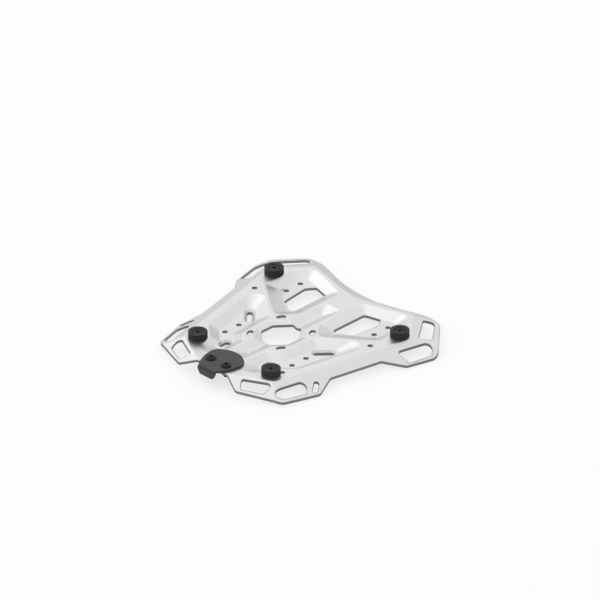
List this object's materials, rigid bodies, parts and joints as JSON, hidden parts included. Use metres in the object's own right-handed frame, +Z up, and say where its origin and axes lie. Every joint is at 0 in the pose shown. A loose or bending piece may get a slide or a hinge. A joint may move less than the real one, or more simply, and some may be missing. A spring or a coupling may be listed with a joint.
{
  "type": "motorcycle luggage rack",
  "caption": "Pressed sheet luggage rack for a motorcycle, with raised case pucks, a bent latch plate, strap windows in its wings and rows of adapter holes.",
  "frame": {"origin": "centre of the bounding box at the height of the surface it rests on", "axes": "+X to the rack's right-hand side, +Y to the front of the rack, +Z up through the deck"},
  "size_m": [0.3244, 0.3016, 0.0296],
  "materials": {
    "plate_aluminium": "satin, fine blasted and anodised in natural silver",
    "hook_steel": "black powder coat, fine texture",
    "puck_rubber": "matt moulded",
    "washer_steel": "black zinc, satin",
    "screw_steel": "black oxide, satin",
    "press_nut_steel": "bright zinc",
    "nut_steel": "black oxide, satin"
  },
  "bodies": {
    "root": {"rack_plate": "plate_aluminium", "hook_plate": "hook_steel", "puck_front_left": "puck_rubber", "puck_front_right": "puck_rubber", "puck_rear_left": "puck_rubber", "puck_rear_right": "puck_rubber", "disc_front_left": "washer_steel", "disc_front_right": "washer_steel", "disc_rear_left": "washer_steel", "disc_rear_right": "washer_steel", "puck_screw_front_left": "screw_steel", "puck_screw_front_right": "screw_steel", "puck_screw_rear_left": "screw_steel", "puck_screw_rear_right": "screw_steel", "press_nut_front_left": "press_nut_steel", "press_nut_front_right": "press_nut_steel", "press_nut_rear_left": "press_nut_steel", "press_nut_rear_right": "press_nut_steel", "hook_screw_left": "screw_steel", "hook_nut_left": "nut_steel", "hook_screw_right": "screw_steel", "hook_nut_right": "nut_steel"}
  },
  "joints": []
}
